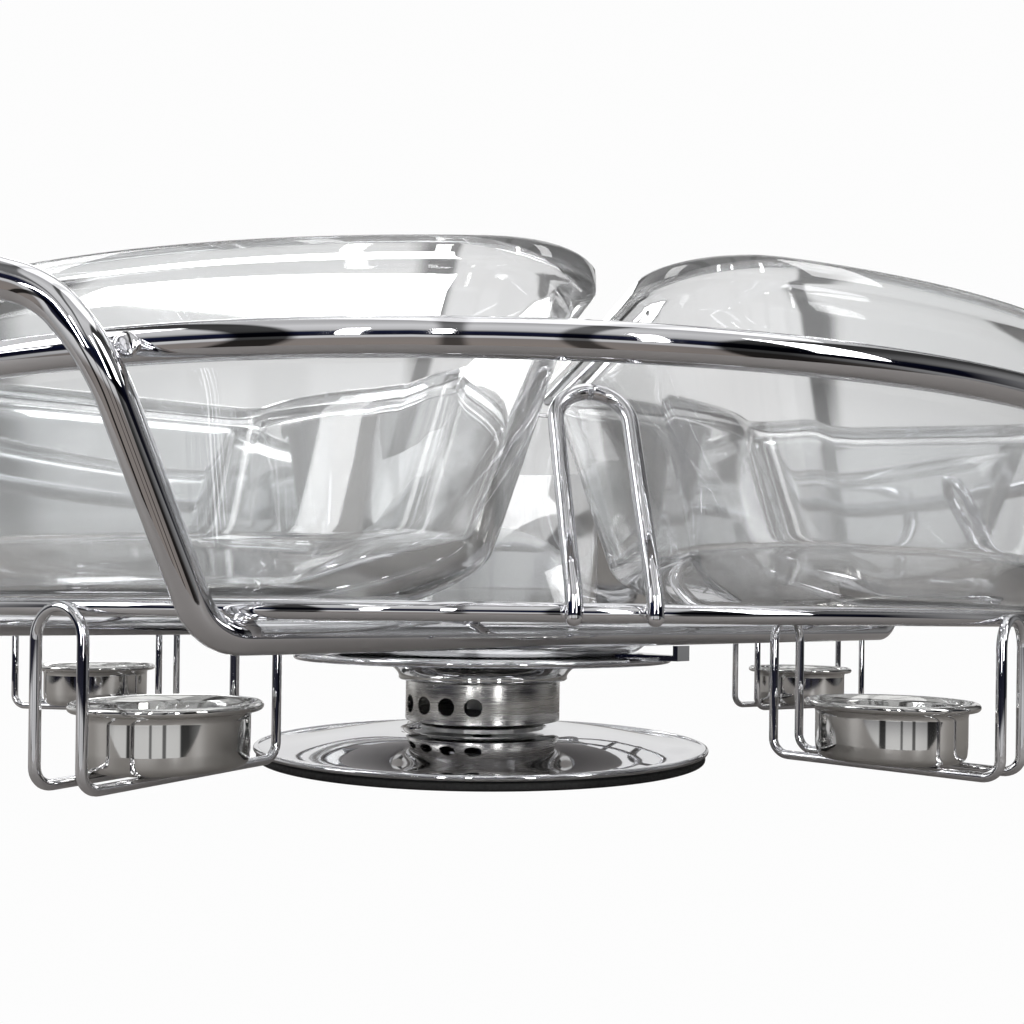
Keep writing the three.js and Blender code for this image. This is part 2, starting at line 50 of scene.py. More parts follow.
eye_height = (hoop_low.z + hoop_high.z) / 2 - 0.001
camera_data = bpy.data.cameras.new("camera")
camera_data.lens = 35.4
camera_data.sensor_width = 36
camera_data.shift_y = 0.102
camera_data.clip_start = 0.01
camera = bpy.data.objects.new("camera", camera_data)
camera.location = (0.012, -0.428, eye_height)
camera.rotation_euler = (np.pi / 2, np.radians(-0.7), 0)
scene.collection.objects.link(camera)
scene.camera = camera


def area_light(name, place, aim, size, power, colour=(1, 1, 1)):
    """A rectangular lamp at place that faces aim."""
    data = bpy.data.lights.new(name, "AREA")
    data.shape = "RECTANGLE"
    data.size, data.size_y = size
    data.energy = power
    data.color = colour
    lamp = bpy.data.objects.new(name, data)
    lamp.location = place
    lamp.rotation_euler = (Vector(aim) - Vector(place)).to_track_quat("-Z", "Y").to_euler()
    scene.collection.objects.link(lamp)


area_light("window_left", (-1.3, -0.5, 0.9), (0, 0, 0.1), (0.5, 1.1), 9)
area_light("window_right", (1.2, -0.9, 0.8), (0, 0, 0.1), (0.35, 1.0), 7)
area_light("window_back", (-0.5, 1.6, 0.9), (0, 0, 0.1), (0.9, 0.5), 6)
area_light("strip_left", (-0.45, -1.5, 0.45), (0, 0, 0.1), (0.09, 0.8), 4)
area_light("strip_middle", (-0.12, -1.6, 0.5), (0, 0, 0.1), (0.06, 0.6), 2.5)
area_light("strip_right", (0.62, -1.4, 0.45), (0, 0, 0.1), (0.1, 0.8), 4)
area_light("overhead", (0.2, 0.1, 1.5), (0, 0, 0), (1.2, 1.2), 4)


def ramp_node(tree, stops):
    """A colour ramp from (position, grey or colour) pairs."""
    ramp = tree.nodes.new("ShaderNodeValToRGB")
    elements = ramp.color_ramp.elements
    while len(elements) < len(stops):
        elements.new(0.5)
    for element, (position, tone) in zip(elements, stops):
        element.position = position
        element.color = (*(tone if isinstance(tone, tuple) else (tone,) * 3), 1)
    return ramp


world = bpy.data.worlds.new("white_room")
scene.world = world
world.use_nodes = True
sky = world.node_tree
sky.nodes.clear()
direction = sky.nodes.new("ShaderNodeTexCoord")
split = sky.nodes.new("ShaderNodeSeparateXYZ")
sky.links.new(direction.outputs["Generated"], split.inputs[0])
height = sky.nodes.new("ShaderNodeMapRange")
height.inputs["From Min"].default_value = -1
sky.links.new(split.outputs["Z"], height.inputs["Value"])
facing = sky.nodes.new("ShaderNodeMapRange")
facing.inputs["From Min"].default_value = 0.25
facing.inputs["From Max"].default_value = -0.2
sky.links.new(split.outputs["Y"], facing.inputs["Value"])
dark_side = ramp_node(sky, [
    (0.0, (0.3, 0.26, 0.23)), (0.33, (0.26, 0.235, 0.22)), (0.37, 0.66), (0.445, 0.74),
    (0.46, (0.03, 0.03, 0.045)), (0.52, (0.006, 0.007, 0.02)), (0.63, (0.012, 0.016, 0.045)), (0.665, 0.3),
    (0.72, 0.62), (0.88, 0.78), (1.0, 0.45),
])
light_side = ramp_node(sky, [(0.0, 0.3), (0.46, 0.46), (0.5, 0.72), (0.56, 0.84), (0.75, 0.88), (1.0, 0.6)])
for ramp in (dark_side, light_side):
    sky.links.new(height.outputs["Result"], ramp.inputs[0])
across = sky.nodes.new("ShaderNodeMapRange")
across.inputs["From Min"].default_value = -1
sky.links.new(split.outputs["X"], across.inputs["Value"])
door_frames = ramp_node(sky, [
    (0.0, 0.4), (0.1, 1), (0.2, 1), (0.215, 0.08), (0.27, 0.08), (0.285, 1), (0.45, 1), (0.46, 0.25),
    (0.48, 0.25), (0.49, 1), (0.6, 1), (0.61, 0.2), (0.64, 0.2), (0.65, 1), (0.78, 0.9), (0.795, 0.06),
    (0.86, 0.06), (1.0, 0.4),
])
sky.links.new(across.outputs["Result"], door_frames.inputs[0])
sides = sky.nodes.new("ShaderNodeMix")
sides.data_type = "RGBA"
sky.links.new(facing.outputs["Result"], sides.inputs["Factor"])
sky.links.new(light_side.outputs[0], sides.inputs["A"])
sky.links.new(dark_side.outputs[0], sides.inputs["B"])
framed = sky.nodes.new("ShaderNodeMix")
framed.data_type = "RGBA"
framed.blend_type = "MULTIPLY"
framed.inputs["Factor"].default_value = 1
sky.links.new(sides.outputs["Result"], framed.inputs["A"])
sky.links.new(door_frames.outputs[0], framed.inputs["B"])
seen = sky.nodes.new("ShaderNodeLightPath")
plain = sky.nodes.new("ShaderNodeMix")
plain.data_type = "RGBA"
plain.inputs["B"].default_value = (0.98, 0.98, 0.98, 1)
sky.links.new(seen.outputs["Is Camera Ray"], plain.inputs["Factor"])
sky.links.new(framed.outputs["Result"], plain.inputs["A"])
background = sky.nodes.new("ShaderNodeBackground")
sky.links.new(plain.outputs["Result"], background.inputs["Color"])
sky_output = sky.nodes.new("ShaderNodeOutputWorld")
sky.links.new(background.outputs[0], sky_output.inputs["Surface"])


def material(name):
    """A new node material and its Principled shader."""
    made = bpy.data.materials.new(name)
    made.use_nodes = True
    return made, made.node_tree, made.node_tree.nodes["Principled BSDF"]


def noise_node(tree, scale, detail, stretch=(1, 1, 1)):
    """Noise on Object coordinates, stretched along the axes."""
    coordinates = tree.nodes.new("ShaderNodeTexCoord")
    mapping = tree.nodes.new("ShaderNodeMapping")
    mapping.inputs["Scale"].default_value = stretch
    noise = tree.nodes.new("ShaderNodeTexNoise")
    noise.inputs["Scale"].default_value = scale
    noise.inputs["Detail"].default_value = detail
    tree.links.new(coordinates.outputs["Object"], mapping.inputs["Vector"])
    tree.links.new(mapping.outputs[0], noise.inputs["Vector"])
    return noise


def tone(tree, shader, source, socket, stops):
    """Drives one of the shader's sockets with a ramp over a texture."""
    ramp = ramp_node(tree, stops)
    tree.links.new(source.outputs[0], ramp.inputs[0])
    tree.links.new(ramp.outputs[0], shader.inputs[socket])


def bump(tree, shader, source, strength, distance):
    """Raises the surface a little with a texture."""
    node = tree.nodes.new("ShaderNodeBump")
    node.inputs["Strength"].default_value = strength
    node.inputs["Distance"].default_value = distance
    tree.links.new(source.outputs[0], node.inputs["Height"])
    tree.links.new(node.outputs[0], shader.inputs["Normal"])


def finish_material(name, metal, colours, roughness, texture, fine, relief):
    """A surface whose colour follows one noise and whose roughness and relief follow a finer one."""
    made, tree, shader = material(name)
    shader.inputs["Metallic"].default_value = metal
    broad = noise_node(tree, *texture)
    narrow = noise_node(tree, *fine)
    tone(tree, shader, broad, "Base Color", [(0.3, colours[0]), (0.7, colours[1])])
    tone(tree, shader, narrow, "Roughness", [(0.3, roughness[0]), (0.75, roughness[1])])
    bump(tree, shader, narrow, *relief)
    return made


table_top, tree, shader = material("table_top")
table_tones = [(0.2, (0.22, 0.205, 0.195)), (0.8, (0.25, 0.235, 0.22))]
tone(tree, shader, noise_node(tree, 3, 2), "Base Color", table_tones)
shader.inputs["Roughness"].default_value = 0.6
floor_mesh = bpy.data.meshes.new("table_top")
floor_mesh.from_pydata([(-0.6, -0.3, 0), (0.6, -0.3, 0), (0.6, 0.9, 0), (-0.6, 0.9, 0)], [], [(0, 1, 2, 3)])
floor_mesh.materials.append(table_top)
floor = bpy.data.objects.new("table_top", floor_mesh)
floor.visible_camera = False
scene.collection.objects.link(floor)


# ---- Foot ring ----
# A moulded black rubber ring, pressed on under the base so that the server doesn't slide or mark the table.
# Its edges are rounded and its face is matt with a fine grain.
def add_piece(name, points, faces, finish, body, nodes):
    """Makes a mesh object of points and faces that rides on a body and stands for CAD nodes."""
    mesh = bpy.data.meshes.new(name)
    mesh.from_pydata(points.tolist(), [], faces)
    mesh.shade_smooth()
    mesh.materials.append(finish)
    piece = bpy.data.objects.new(name, mesh)
    scene.collection.objects.link(piece)
    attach(piece, body)
    if nodes:
        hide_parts(*nodes)
    return piece


def grid_faces(rows, columns, wrap_rows, wrap_columns):
    """Quads between neighbouring rows and columns of a grid of points, wrapping round where asked."""
    row = np.arange(rows if wrap_rows else rows - 1)[:, None]
    column = np.arange(columns if wrap_columns else columns - 1)[None, :]
    down, right = (row + 1) % rows, (column + 1) % columns
    corners = (row * columns + column, row * columns + right, down * columns + right, down * columns + column)
    return np.stack(np.broadcast_arrays(*corners), -1).reshape(-1, 4)


def rounded(corners, radius, steps=6, closed=True):
    """An outline with its corners turned into arcs. At a corner with unit directions d in and e out, the arc
    is start + radius (sin t d + (1 - cos t) n), n being the part of e square to d, for t from 0 to the turn.
    radius is one number, or one for each corner."""
    corners = np.asarray(corners, float)
    radii = np.broadcast_to(np.asarray(radius, float), len(corners))
    count = len(corners)
    kept = range(count) if closed else range(1, count - 1)
    pieces = [] if closed else [corners[:1]]
    for i in kept:
        into = corners[i] - corners[i - 1]
        out = corners[(i + 1) % count] - corners[i]
        into, out = into / np.linalg.norm(into), out / np.linalg.norm(out)
        turn = np.arccos(np.clip(into @ out, -1, 1))
        if turn < 1e-3 or radii[i] == 0:
            pieces.append(corners[i : i + 1])
            continue
        across = out - (out @ into) * into
        across /= np.linalg.norm(across)
        t = np.linspace(0, turn, steps + 1)[:, None]
        start = corners[i] - into * radii[i] * np.tan(turn / 2)
        pieces.append(start + radii[i] * (np.sin(t) * into + (1 - np.cos(t)) * across))
    if not closed:
        pieces.append(corners[-1:])
    return np.concatenate(pieces)


def turned(profile, centre=(0, 0), segments=128):
    """A closed (radius, height) outline carried round the vertical line through centre: x = cx + r cos a,
    y = cy + r sin a, z = h. The outline runs anticlockwise, so that the faces point out."""
    profile = np.asarray(profile, float)
    angle = np.linspace(0, 2 * np.pi, segments, endpoint=False)[None, :]
    radius, height = profile[:, 0:1], profile[:, 1:2]
    points = np.stack([
        centre[0] + radius * np.cos(angle), centre[1] + radius * np.sin(angle), height + 0 * angle,
    ], -1).reshape(-1, 3)
    faces = grid_faces(len(profile), segments, True, True)
    return points, faces[:, ::-1].tolist()


rubber = finish_material("rubber", 0, (0.008, 0.02), (0.6, 0.85), (60, 2), (900, 3), (0.25, 0.0002))
low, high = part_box("foot_ring")
ring_outer, ring_width, ring_edge = high.x, 0.014, 0.0011
points, faces = turned(rounded([
    (ring_outer - ring_width, 0), (ring_outer, 0), (ring_outer, high.z), (ring_outer - ring_width, high.z),
], ring_edge))
add_piece("foot_ring_moulding", points, faces, rubber, "base", ["foot_ring"])

# ---- Base disc ----
# A disc spun from steel sheet and plated in bright chrome. Its edge is rolled into a bead, and the middle
# rises in a shallow cone to the turntable bearing.
chrome = finish_material(
    "chrome", 1, ((0.70, 0.70, 0.72), (0.76, 0.76, 0.78)), (0.02, 0.05), (35, 3), (420, 4), (0.015, 0.00003)
)
low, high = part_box("base_disc")
base_radius, sheet = high.x, 0.0015
bead = 0.0012
gap = 0.0003
foot_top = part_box("foot_ring")[1].z + gap
slope = np.linspace(0, 1, 16)
inner_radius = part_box("collar")[1].x + 0.004
rim_radius = base_radius - 2.2 * bead
cone_radius = rim_radius + (inner_radius - rim_radius) * slope
cone_height = foot_top + sheet + (high.z - foot_top - sheet) * (1 - np.cos(np.pi * slope**0.8)) / 2
edge = np.linspace(-0.55 * np.pi, 0.72 * np.pi, 14)
bolt_hole = 0.0043
base_profile = np.concatenate([
    [(bolt_hole, high.z - sheet), (inner_radius, high.z - sheet)],
    np.stack([cone_radius, cone_height - sheet], -1)[::-1][1:],
    np.stack([base_radius - bead + bead * np.cos(edge), foot_top + bead + bead * np.sin(edge)], -1),
    np.stack([cone_radius, cone_height], -1),
    [(bolt_hole, high.z)],
])
points, faces = turned(base_profile, segments=192)
add_piece("base_disc_spinning", points, faces, chrome, "base", ["base_disc"])

# ---- Turntable bearing ----
# Two pressed zinc-plated races with a ring of balls between them, on one central bolt with a lock nut.
# The collar hides all of it, so the plain CAD pieces stay and get a plated finish.
zinc = finish_material(
    "zinc_plate", 1, ((0.42, 0.43, 0.43), (0.6, 0.6, 0.58)), (0.28, 0.5), (160, 4), (500, 3), (0.1, 0.0001),
)
brushed = finish_material(
    "brushed_steel", 1, ((0.56, 0.55, 0.53), (0.72, 0.71, 0.69)), (0.16, 0.34),
    (9, 3, (1, 1, 26)), (30, 6, (1, 1, 60)), (0.02, 0.0001),
)
stainless = finish_material(
    "polished_stainless", 1, ((0.64, 0.635, 0.62), (0.74, 0.735, 0.72)), (0.03, 0.07),
    (70, 3, (1, 1, 0.12)), (90, 2, (1, 1, 0.2)), (0.02, 0.0002),
)


def refinish(node, finish):
    """Gives a carried-over CAD node a better material."""
    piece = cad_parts[node]
    piece.data.materials.clear()
    piece.data.materials.append(finish)


for node in ("lower_race", "ball_ring", "pivot_bolt", "lock_nut", "upper_race"):
    refinish(node, zinc)

# ---- Collar ----
# A short length of brushed stainless tube with two groups of round vent holes punched through its wall.
# It is fixed to the upper race and turns with the rack.
low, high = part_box("collar")
collar_radius, collar_wall = high.x, 0.0012
vent_radius, vent_lift, vent_step, vent_reach = 0.0037, 0.0072, 20, 0.004
points, faces = turned(rounded([
    (collar_radius - collar_wall, low.z), (collar_radius, low.z),
    (collar_radius, high.z), (collar_radius - collar_wall, high.z),
], 0.0004, 3), segments=192)
collar_tube = add_piece("collar_tube", points, faces, brushed, "rack", ["collar"])


def polar(angle, radius, height):
    """A point at an angle in degrees from the front (-Y) towards +X, a radius and a height."""
    turn = np.radians(angle)
    return np.array([radius * np.sin(turn), -radius * np.cos(turn), height])


def swept(stations, radius, sides=16, closed=False, ends="flat"):
    """A round bar along a line of stations. Each section is a circle square to the line, p + r (cos a u +
    sin a v), where u is carried along without twist: at each station it loses its part along the line.
    A round end adds sections at r sin b past the end with radius r cos b."""
    path = np.asarray(stations, float)
    if closed:
        tangent = np.roll(path, -1, 0) - np.roll(path, 1, 0)
    else:
        tangent = np.gradient(path, axis=0)
    tangent /= np.linalg.norm(tangent, axis=1, keepdims=True)
    radii = np.full(len(path), radius)
    if ends == "round":
        b = np.radians([20, 40, 58, 74, 86])
        first = path[0] - radius * np.sin(b)[::-1, None] * tangent[0]
        last = path[-1] + radius * np.sin(b)[:, None] * tangent[-1]
        path = np.concatenate([first, path, last])
        tangent = np.concatenate([np.tile(tangent[0], (5, 1)), tangent, np.tile(tangent[-1], (5, 1))])
        radii = np.concatenate([radius * np.cos(b)[::-1], radii, radius * np.cos(b)])
    carried = [np.cross(tangent[0], (0.31, 0.42, 0.85))]
    for step in tangent:
        kept = carried[-1] - (carried[-1] @ step) * step
        carried.append(kept / np.linalg.norm(kept))
    u = np.array(carried[1:])
    v = np.cross(tangent, u)
    a = np.linspace(0, 2 * np.pi, sides, endpoint=False)
    section = np.cos(a)[None, :, None] * u[:, None] + np.sin(a)[None, :, None] * v[:, None]
    points = (path[:, None] + radii[:, None, None] * section).reshape(-1, 3)
    faces = grid_faces(len(path), sides, closed, True).tolist()
    if not closed:
        faces.append(list(range(sides))[::-1])
        faces.append(list(range(len(points) - sides, len(points))))
    return points, faces


def drilled(piece, drills):
    """Cuts round bars out of a piece with a boolean modifier, and keeps the result as its mesh."""
    for points, faces in drills:
        mesh = bpy.data.meshes.new("drill")
        mesh.from_pydata(points.tolist(), [], faces)
        cutter = bpy.data.objects.new("drill", mesh)
        scene.collection.objects.link(cutter)
        cut = piece.modifiers.new("cut", "BOOLEAN")
        cut.solver = "EXACT"
        cut.object = cutter
        result = bpy.data.meshes.new_from_object(piece.evaluated_get(bpy.context.evaluated_depsgraph_get()))
        piece.modifiers.clear()
        piece.data = result
        bpy.data.objects.remove(cutter)


def vent(angle):
    """A round bar along the radius, from the collar's radius less the reach to the radius plus the reach."""
    place = [polar(angle, collar_radius + step, low.z + vent_lift) for step in (-vent_reach, 0, vent_reach)]
    return swept(place, vent_radius, 24)


vent_groups, group_size = (-65, 115), 4
drilled(collar_tube, [vent(group + i * vent_step) for group in vent_groups for i in range(group_size)])
collar_tube.data.set_sharp_from_angle(angle=np.radians(35))

# ---- Flared cup and plate ----
# The cup is spun from thin stainless sheet and widens from the collar to the plate. The plate is a chromed
# steel disc with a rounded edge, and the centre dish stands on it.
low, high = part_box("flared_cup")
flare_top, flare_foot = high.x, collar_radius + 0.003
cup_sheet = 0.0018
lift = np.linspace(0, 1, 14)
flare_radius = flare_foot + (flare_top - flare_foot) * lift**1.7
flare_height = low.z + 0.0014 + (high.z - low.z - 0.0014) * lift
flare_profile = np.concatenate([
    [(collar_radius - collar_wall, low.z), (flare_foot - 0.0006, low.z)],
    [(flare_foot + 0.0001, low.z + 0.0006)],
    np.stack([flare_radius, flare_height], -1),
    np.stack([flare_radius[::-1] - cup_sheet - 0.001, np.minimum(flare_height[::-1] + 0.0006, high.z)], -1),
    [(collar_radius - collar_wall, low.z + 0.002)],
])
points, faces = turned(flare_profile)
add_piece("flared_cup_spinning", points, faces, stainless, "rack", ["flared_cup"])


def disc_profile(radius, bottom, top, hub=0.0002):
    """A flat disc with a half-round edge, closed by a pin-sized hole on the axis."""
    t = np.linspace(-np.pi / 2, np.pi / 2, 10)
    half = (top - bottom) / 2
    edge = np.stack([radius - half + half * np.cos(t), bottom + half + half * np.sin(t)], -1)
    return np.concatenate([[(hub, bottom), (radius * 0.6, bottom)], edge, [(radius * 0.6, top), (hub, top)]])


low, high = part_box("top_plate")
points, faces = turned(disc_profile(high.x, low.z, high.z))
add_piece("top_plate_disc", points, faces, chrome, "rack", ["top_plate"])
for side in ("front", "rear"):
    refinish(f"plate_bracket_{side}", chrome)

# ---- Hoops ----
# Three hoops of chromed steel, each bent round and butt-welded: a thick tube that holds the dishes in, and
# two thinner rods that they stand on.
def hoop_path(radius, height, steps):
    """A level circle."""
    angle = np.radians(np.linspace(0, 360, steps, endpoint=False))
    return np.stack([radius * np.sin(angle), -radius * np.cos(angle), height + 0 * angle], -1)


hoop_data = {}
for name, sides in (("upper_ring", 28), ("lower_ring", 20), ("inner_ring", 20)):
    low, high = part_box(name)
    thickness = high.z - low.z
    hoop_data[name] = (high.x - thickness / 2, (low.z + high.z) / 2, thickness / 2)
    radius, height, half = hoop_data[name]
    points, faces = swept(hoop_path(radius, height, 192), half, sides, closed=True)
    add_piece(f"{name}_hoop", points, faces, chrome, "rack", [name])

# ---- Frame tubes ----
# Two thick chromed tubes, each bent to half a handle, a strut, a cross tube under the hoops, the other strut
# and half of the other handle. They meet end to end in the middle of the handles.
frame_turn = 48.75
upper_radius, upper_height, tube_radius = hoop_data["upper_ring"]
lower_radius, lower_height, rod_radius = hoop_data["lower_ring"]
cross_height = lower_height - rod_radius - tube_radius - gap
foot_radius = lower_radius + 0.0085
grip_reach, grip_rise, grip_half_angle = 0.0509, 0.021, 11
shoulder_reach, shoulder_rise, shoulder_angle, strut_angle = 0.0135, 0.008, 67.4, 65
cross_offset = 0.09745
foot_turn = np.degrees(np.arccos(cross_offset / foot_radius))


def half_frame(turn, side):
    """Corners from the middle of a handle to the foot of its strut."""
    grip = upper_radius + grip_reach, upper_height + grip_rise
    corner = polar(turn + side * (90 - grip_half_angle), *grip)
    mirrored = polar(turn + side * (90 + grip_half_angle), *grip)
    slope = (2 * tube_radius + gap) * 1.2
    return [
        (corner + mirrored) / 2, corner,
        polar(turn + side * shoulder_angle, upper_radius + shoulder_reach, upper_height + shoulder_rise),
        polar(turn + side * strut_angle, upper_radius + slope, upper_height - slope / 2),
        polar(turn + side * foot_turn, foot_radius, cross_height),
    ]


for side, turn in (("front", frame_turn), ("rear", frame_turn + 180)):
    corners = half_frame(turn, -1) + half_frame(turn, 1)[::-1]
    bends = [0, 0.040, 0.016, 0.030, 0.014]
    stations = rounded(corners, bends + bends[::-1], 14, closed=False)
    points, faces = swept(stations, tube_radius, 28)
    add_piece(f"frame_tube_{side}_bent", points, faces, chrome, "rack", [f"frame_tube_{side}"])

# ---- Dividers ----
# Each is one rod bent to an inverted U and welded outside the lower hoop. It leans in between two dishes and
# keeps them apart. The cut ends are rounded.
dish_count = 5
pitch = 360 / dish_count
low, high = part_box("cup_1")
first_gap = np.degrees(np.arctan2(low.x + high.x, -low.y - high.y)) + pitch / 2
divider_radius, divider_half, divider_lean, divider_drop = 0.002, 0.0091, 0.026, 0.003
for number in range(dish_count):
    turn = first_gap + number * pitch
    low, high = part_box(f"divider_{number + 1}")
    foot = lower_radius + rod_radius + divider_radius + gap
    across = polar(turn + 90, divider_half, 0)
    leg = [
        polar(turn, foot, lower_height - divider_drop + divider_radius),
        polar(turn, foot, lower_height + divider_drop),
        polar(turn, foot - divider_lean, high.z - divider_radius * 0.92),
    ]
    corners = [point - across for point in leg] + [point + across for point in leg[::-1]]
    stations = rounded(corners, [0, 0.012, 0.00908, 0.00908, 0.012, 0], 12, closed=False)
    points, faces = swept(stations, divider_radius, 18, ends="round")
    nodes = [f"divider_{number + 1}"]
    add_piece(f"divider_{number + 1}_loop", points, faces, chrome, "rack", nodes)

# ---- Cradles ----
# A cradle is one thin wire bent into a closed loop: two level runs for the cup, an inverted U hooked outside
# the lower hoop and another inside the inner hoop. Its butt weld is halfway up an outer leg.
wire_radius, wire_half, run_height = 0.0014, 0.0081, 0.016
inner_radius_hoop = hoop_data["inner_ring"][0]
reach = rod_radius + wire_radius + gap
for number in range(dish_count):
    turn = first_gap + (number - 0.5) * pitch
    across = polar(turn + 90, wire_half, 0)
    inner, outer = inner_radius_hoop - reach, lower_radius + reach
    loop = [
        polar(turn, radius, height) + side * across
        for radius, height, side in (
            (outer, run_height, 1), (inner, run_height, 1),
            (inner, lower_height, 1), (inner, lower_height, -1),
            (inner, run_height, -1), (outer, run_height, -1),
            (outer, lower_height, -1), (outer, lower_height, 1),
        )
    ]
    stations = rounded(loop, [0.005, 0.005, 0.008, 0.008, 0.005, 0.005, 0.008, 0.008], 10)
    points, faces = swept(stations, wire_radius, 16, closed=True)
    add_piece(f"cradle_{number + 1}_wire", points, faces, chrome, "rack", [f"cradle_{number + 1}"])

# ---- Welds ----
# Small smooth beads where the rods and tubes touch. They are ground a little and chromed with the rack, so
# they look like drops of the same metal.
def weld_beads(places, half_sizes):
    """Ellipsoids at places: p + x u + y t + z k, where u points away from the axis, t goes round it, k is up,
    and (x, y, z) is a point of the unit sphere times the half sizes."""
    places = np.asarray(places)
    rows, columns = 9, 14
    tilt = np.linspace(-np.pi / 2 + 0.05, np.pi / 2 - 0.05, rows)[:, None]
    turn = np.linspace(0, 2 * np.pi, columns, endpoint=False)[None, :]
    ball = np.stack([np.cos(tilt) * np.cos(turn), np.cos(tilt) * np.sin(turn), np.sin(tilt) + 0 * turn], -1)
    ball = ball.reshape(-1, 3) * half_sizes
    away = places * (1, 1, 0)
    away /= np.linalg.norm(away, axis=1, keepdims=True)
    frames = np.stack([away, np.cross((0, 0, 1), away), np.tile((0.0, 0.0, 1.0), (len(places), 1))], 1)
    points = (places[:, None] + np.einsum("bi,pij->pbj", ball, frames)).reshape(-1, 3)
    faces = grid_faces(rows, columns, False, True).tolist()
    faces += [list(range(columns))[::-1], list(range((rows - 1) * columns, rows * columns))]
    shifts = range(0, len(points), len(ball))
    return points, [[corner + shift for corner in face] for shift in shifts for face in faces]


gap_turns = [first_gap + number * pitch for number in range(dish_count)]
divider_turn = np.degrees(divider_half / lower_radius)
foot_welds = [
    polar(turn + side * divider_turn, lower_radius + rod_radius, lower_height)
    for turn in gap_turns for side in (-1, 1)
]
hook_welds = [
    polar(turn + pitch / 2, radius, lower_height)
    for turn in gap_turns for radius in (lower_radius + rod_radius, inner_radius_hoop - rod_radius)
]
cross_welds = [
    polar(turn + side * np.degrees(np.arccos(cross_offset / radius)), radius, lower_height - rod_radius)
    for turn in (frame_turn, frame_turn + 180) for side in (-1, 1)
    for radius in (lower_radius, inner_radius_hoop)
]
top_welds = [
    polar(turn + side * 64.8, upper_radius + tube_radius, upper_height - 0.001)
    for turn in (frame_turn, frame_turn + 180) for side in (-1, 1)
]
for name, places, half_sizes in (
    ("foot_welds", foot_welds, (0.0011, 0.0024, 0.0024)),
    ("hook_welds", hook_welds, (0.0009, 0.0045, 0.0012)),
    ("cross_welds", cross_welds, (0.003, 0.003, 0.0010)),
    ("top_welds", top_welds, (0.0009, 0.0034, 0.0028)),
):
    points, faces = weld_beads(places, half_sizes)
    add_piece(name, points, faces, chrome, "rack", [])

# ---- Tea-light cups ----
# Each cup is pressed from thin stainless sheet: a flat floor, a short straight wall and a wide rim that is
# rolled over and down. It stands loose on its two wires.
for number in range(dish_count):
    name = f"cup_{number + 1}"
    low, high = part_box(name)
    centre = ((low.x + high.x) / 2, (low.y + high.y) / 2)
    rim = (high.x - low.x) / 2
    body = rim - 0.0034
    curl = np.linspace(-0.75 * np.pi, 0.5 * np.pi, 14)
    roll, wall, floor_edge = 0.00125, 0.0008, body - 0.004
    foot_corners = [(floor_edge, low.z), (body - 0.0004, low.z + 0.0002), (body, low.z + 0.005)]
    profile = np.concatenate([
        [(0.0002, low.z), (floor_edge, low.z)],
        rounded(foot_corners, 0.0026, 6, False)[1:],
        [(body, low.z + 0.0053), (body, high.z - 0.0045), (body, high.z - 0.0042)],
        [(body + 0.0002, high.z - 0.0030)],
        np.stack([rim - roll + roll * np.cos(curl), high.z - roll + roll * np.sin(curl)], -1),
        [(rim - 0.0022, high.z - 0.0004), (body + 0.0004, high.z - 0.0011), (body - wall, high.z - 0.0022)],
        [(body - wall - 0.0001, low.z + 0.004), (floor_edge, low.z + wall), (0.0002, low.z + wall)],
    ])
    points, faces = turned(profile, centre, 96)
    add_piece(f"{name}_pressing", points, faces, stainless, name, [name])

# ---- Glass dishes ----
# Thick clear glass, pressed in a mould. The walls lean out from a well rounded foot to a lipped rim, and the
# surface keeps the slight waves of the moulding.
glass, tree, shader = material("clear_glass")
shader.inputs["Transmission Weight"].default_value = 0.91
shader.inputs["IOR"].default_value = 1.47
shader.inputs["Coat Weight"].default_value = 0.6
shader.inputs["Coat Roughness"].default_value = 0.01
waves = noise_node(tree, 14, 1, (1, 1, 0.4))
tone(tree, shader, waves, "Base Color", [(0.3, (0.955, 0.97, 0.975)), (0.7, (0.985, 0.99, 0.995))])
tone(tree, shader, noise_node(tree, 160, 3), "Roughness", [(0.4, 0.025), (0.8, 0.055)])
bump(tree, shader, waves, 0.06, 0.002)


def fan_outline(turn, outer, inner, setback, corner_outer=0.022, corner_inner=0.010):
    """A fan in plan: an outer arc, an inner arc, two sides set back from the middle of the gaps, and a round
    corner where each side meets an arc. Returned as x and y, with the same count of points at any size."""
    bisector = np.radians(pitch / 2)
    outer_turn = bisector - np.arcsin((setback + corner_outer) / (outer - corner_outer))
    inner_turn = bisector - np.arcsin((setback + corner_inner) / (inner + corner_inner))

    def arc(reach, centre_turn, radius, start, stop, steps):
        """Points at reach (cos c, sin c) + radius (cos a, sin a), with a in equal steps from start to stop
        and c the centre_turn."""
        angle = np.linspace(start, stop, steps)
        x = reach * np.cos(centre_turn) + radius * np.cos(angle)
        return np.stack([x, reach * np.sin(centre_turn) + radius * np.sin(angle)], -1)

    side = bisector + np.pi / 2
    half = np.concatenate([
        arc(0, 0, outer, 0, outer_turn, 16)[:-1],
        arc(outer - corner_outer, outer_turn, corner_outer, outer_turn, side, 14),
        arc(inner + corner_inner, inner_turn, corner_inner, side, inner_turn + np.pi, 12),
        arc(0, 0, inner, inner_turn, 0, 12)[1:],
    ])
    outline = np.concatenate([half, half[1:-1][::-1] * (1, -1)])
    angle = np.radians(turn - 90)
    spin = np.array([[np.cos(angle), np.sin(angle)], [-np.sin(angle), np.cos(angle)]])
    return outline @ spin


rim_radius_fan, inner_rim, side_gap, glass_wall = 0.231, 0.094, 0.0045, 0.004
outer_lean_share, middle_radius = 0.62, 0.163


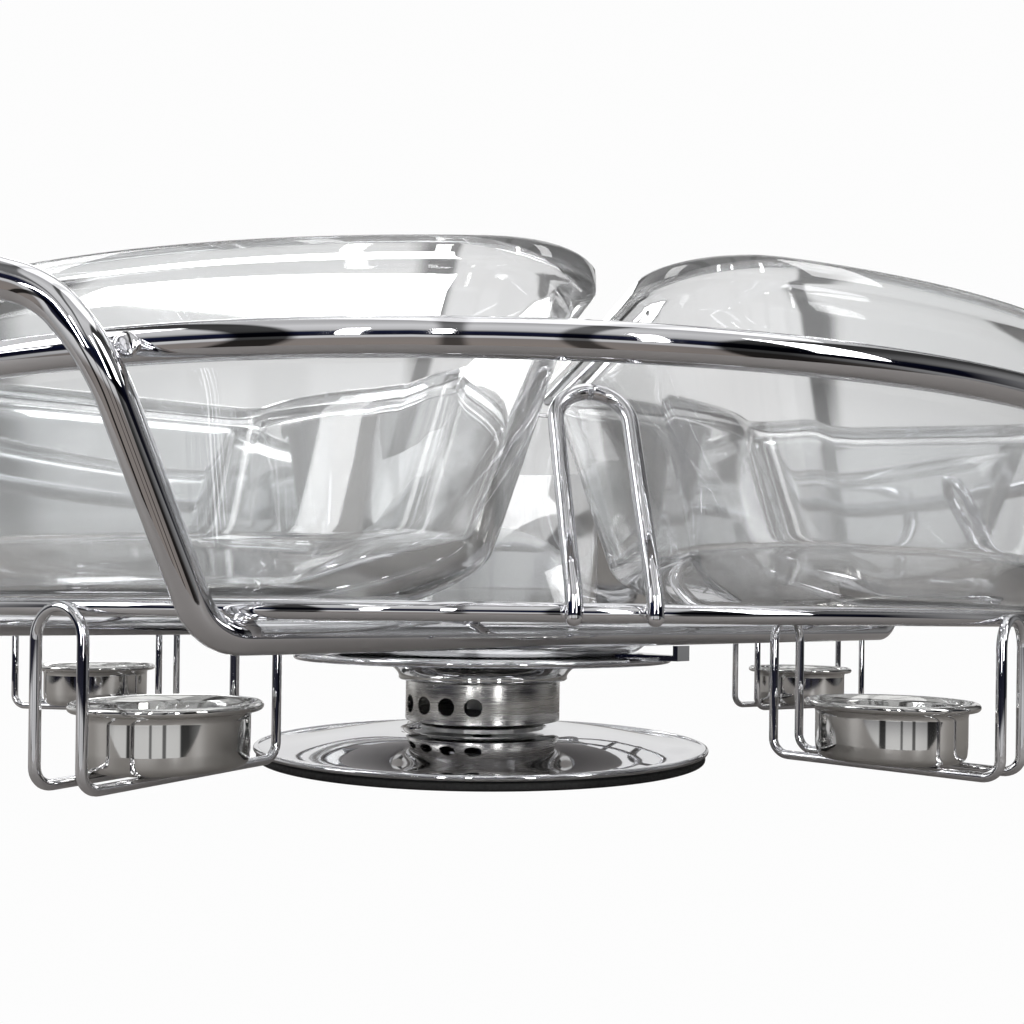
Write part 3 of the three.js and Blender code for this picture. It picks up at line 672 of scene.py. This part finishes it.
def wall_lean(share):
    """How far the outside of the wall stands in from the rim at a share of the height: a slightly bowed
    slope that turns under in a quarter round at the foot."""
    slope = 0.0024 + 0.0205 * (1 - share) ** 1.05
    foot = 0.013 * np.clip(1 - share / 0.17, 0, 1) ** 2.2
    return slope + foot


for number in range(dish_count):
    name = f"fan_dish_{number + 1}"
    turn = first_gap + (number - 0.5) * pitch
    low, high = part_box(name)
    tall = high.z - low.z
    outside = np.concatenate([np.linspace(0, 0.17, 12), np.linspace(0.22, 0.915, 12)])
    inside = np.concatenate([np.linspace(0.96, 0.22, 12), np.linspace(0.19, 0.0, 12)])
    floor_share = glass_wall / tall
    levels = [(share, wall_lean(share)) for share in outside]
    levels += [(0.925, 0.0006), (0.935, 0.0), (0.985, 0.0), (0.996, 0.0006), (1.0, 0.0018)]
    levels += [(1.0, 0.0042), (0.993, 0.0056)]
    levels += [(floor_share + share * (1 - floor_share), wall_lean(share) + glass_wall) for share in inside]
    rows = []
    for share, lean in levels:
        flat = fan_outline(turn, rim_radius_fan - lean * outer_lean_share, inner_rim + lean, side_gap + lean)
        rows.append(np.column_stack([flat, np.full(len(flat), low.z + tall * share)]))
    shares = (0.75, 0.5, 0.25)
    middle_low = polar(turn, middle_radius, low.z)
    under = [middle_low + (rows[0] - middle_low) * k for k in (0.02, *shares[::-1])]
    middle_high = polar(turn, middle_radius, low.z + glass_wall)
    bottom = [middle_high + (rows[-1] - middle_high) * k for k in (*shares, 0.02)]
    rows = under + rows + bottom
    count = len(rows[0])
    points = np.concatenate(rows)
    faces = grid_faces(len(rows), count, False, True).tolist()
    faces.append(list(range(count))[::-1])
    faces.append(list(range(len(points) - count, len(points))))
    add_piece(f"{name}_glass", points, faces, glass, name, [name])

low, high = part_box("centre_dish")
foot, rim = 0.060, high.x
wall_top = (rim - 0.003, high.z - 0.006)
outer_wall = rounded([(foot - 0.012, low.z), (foot + 0.0095, low.z), wall_top], 0.0125, 12, False)
lip_corners = [wall_top, (rim, high.z - 0.0052), (rim, high.z), (rim - 0.0046, high.z)]
lip = rounded(lip_corners, 0.0014, 5, False)[1:]
inner_wall = rounded([
    (rim - 0.0046, high.z), (foot + 0.0048, low.z + glass_wall), (foot - 0.015, low.z + glass_wall),
], [0, 0.011, 0], 12, False)[1:]
profile = np.concatenate([[(0.0002, low.z)], outer_wall, lip, inner_wall, [(0.0002, low.z + glass_wall)]])
points, faces = turned(profile)
add_piece("centre_dish_glass", points, faces, glass, "centre_dish", ["centre_dish"])
